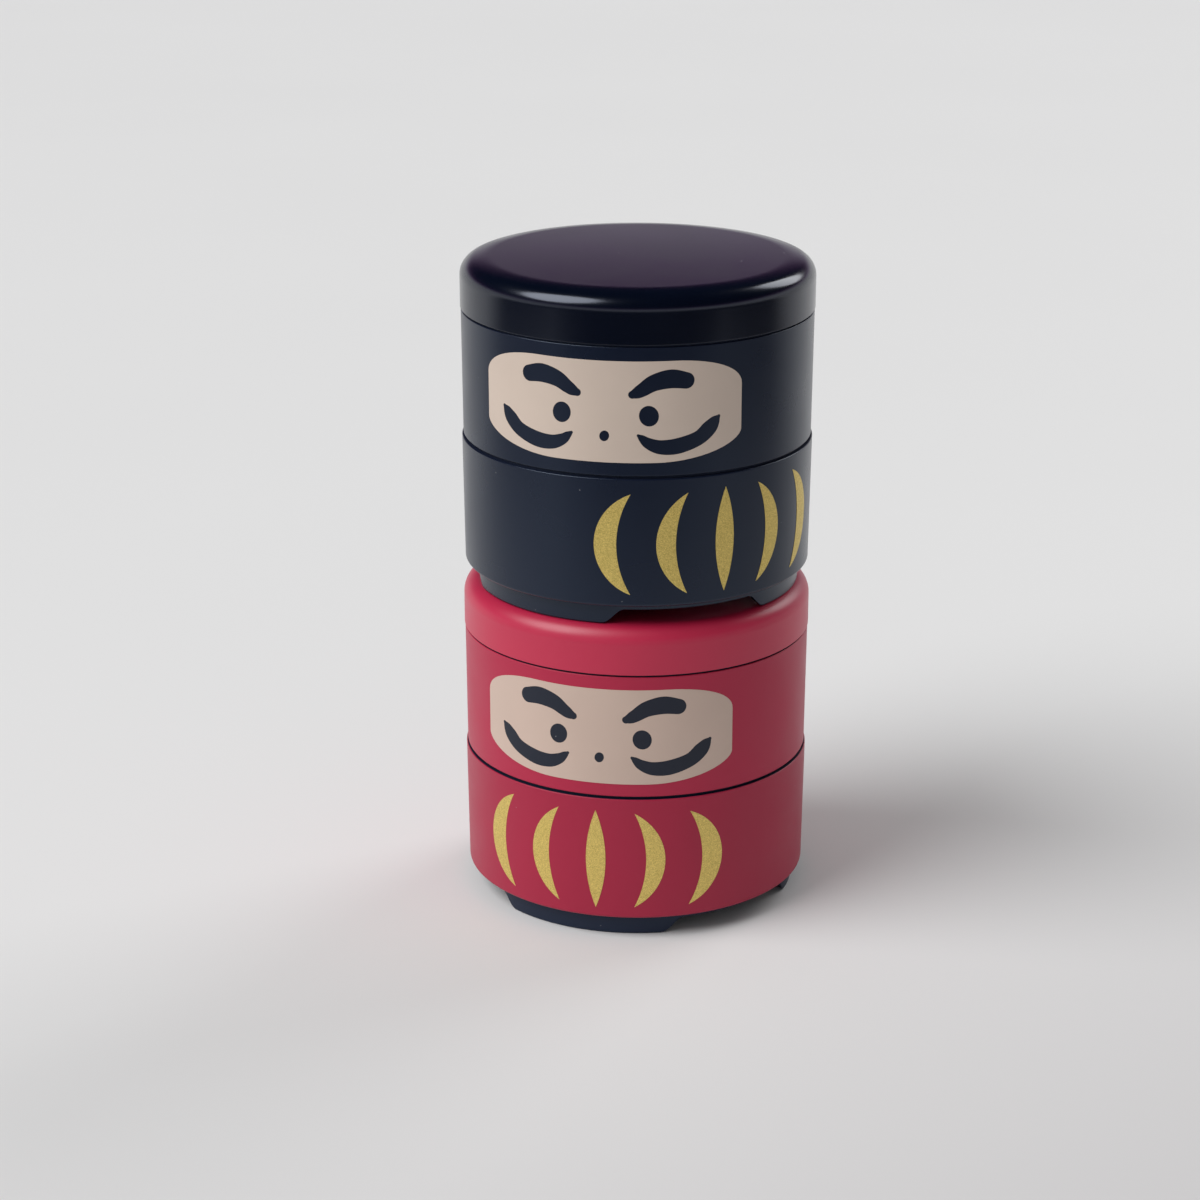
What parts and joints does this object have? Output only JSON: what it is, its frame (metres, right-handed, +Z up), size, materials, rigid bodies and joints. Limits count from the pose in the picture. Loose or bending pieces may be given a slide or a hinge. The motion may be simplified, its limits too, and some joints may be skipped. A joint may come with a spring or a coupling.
{
  "type": "stacking lunch box",
  "caption": "Stack of round lacquered two-tier lunch boxes with notched foot rings, lift-off lids and tiers, printed faces and gold stripes.",
  "frame": {"origin": "centre of the stack on the surface that the lower set's feet stand on", "axes": "+Z up through the stack, -Y the front, where the faces are"},
  "size_m": [0.1054, 0.1054, 0.1976],
  "materials": {
    "red_coat": "satin red coat on black plastic",
    "black_coat": "satin blue-black coat",
    "gold_print": "metallic gold print",
    "cream_print": "matte cream print",
    "black_print": "matte black print",
    "divider_plastic": "fine matte moulding",
    "soft_plastic": "soft translucent white, waxy"
  },
  "bodies": {
    "red_lower_body": {"red_lower_tier": "red_coat", "red_stripes": "gold_print"},
    "red_upper_body": {"red_upper_tier": "red_coat", "red_face_print": "cream_print", "red_face_marks": "black_print"},
    "red_divider_body": {"red_divider": "divider_plastic"},
    "red_inner_lid_body": {"red_inner_lid": "soft_plastic"},
    "red_lid_body": {"red_lid": "red_coat"},
    "black_lower_body": {"black_lower_tier": "black_coat", "black_stripes": "gold_print"},
    "black_upper_body": {"black_upper_tier": "black_coat", "black_face_print": "cream_print"},
    "black_divider_body": {"black_divider": "divider_plastic"},
    "black_inner_lid_body": {"black_inner_lid": "soft_plastic"},
    "black_lid_body": {"black_lid": "black_coat"}
  },
  "joints": [
    {"name": "red_upper_lift", "type": "slide", "parent": "red_lower_body", "child": "red_upper_body", "axis": [0, 0, 1], "range_m": [0, 0.04]},
    {"name": "red_divider_lift", "type": "slide", "parent": "red_upper_body", "child": "red_divider_body", "axis": [0, 0, 1], "range_m": [0, 0.06]},
    {"name": "red_inner_lid_lift", "type": "slide", "parent": "red_divider_body", "child": "red_inner_lid_body", "axis": [0, 0, 1], "range_m": [0, 0.03]},
    {"name": "red_lid_lift", "type": "slide", "parent": "red_inner_lid_body", "child": "red_lid_body", "axis": [0, 0, 1], "range_m": [0, 0.04]},
    {"name": "black_set_lift", "type": "slide", "parent": "red_lid_body", "child": "black_lower_body", "axis": [0, 0, 1], "range_m": [0, 0.04]},
    {"name": "black_upper_lift", "type": "slide", "parent": "black_lower_body", "child": "black_upper_body", "axis": [0, 0, 1], "range_m": [0, 0.04]},
    {"name": "black_divider_lift", "type": "slide", "parent": "black_upper_body", "child": "black_divider_body", "axis": [0, 0, 1], "range_m": [0, 0.06]},
    {"name": "black_inner_lid_lift", "type": "slide", "parent": "black_divider_body", "child": "black_inner_lid_body", "axis": [0, 0, 1], "range_m": [0, 0.03]},
    {"name": "black_lid_lift", "type": "slide", "parent": "black_inner_lid_body", "child": "black_lid_body", "axis": [0, 0, 1], "range_m": [0, 0.04]}
  ]
}
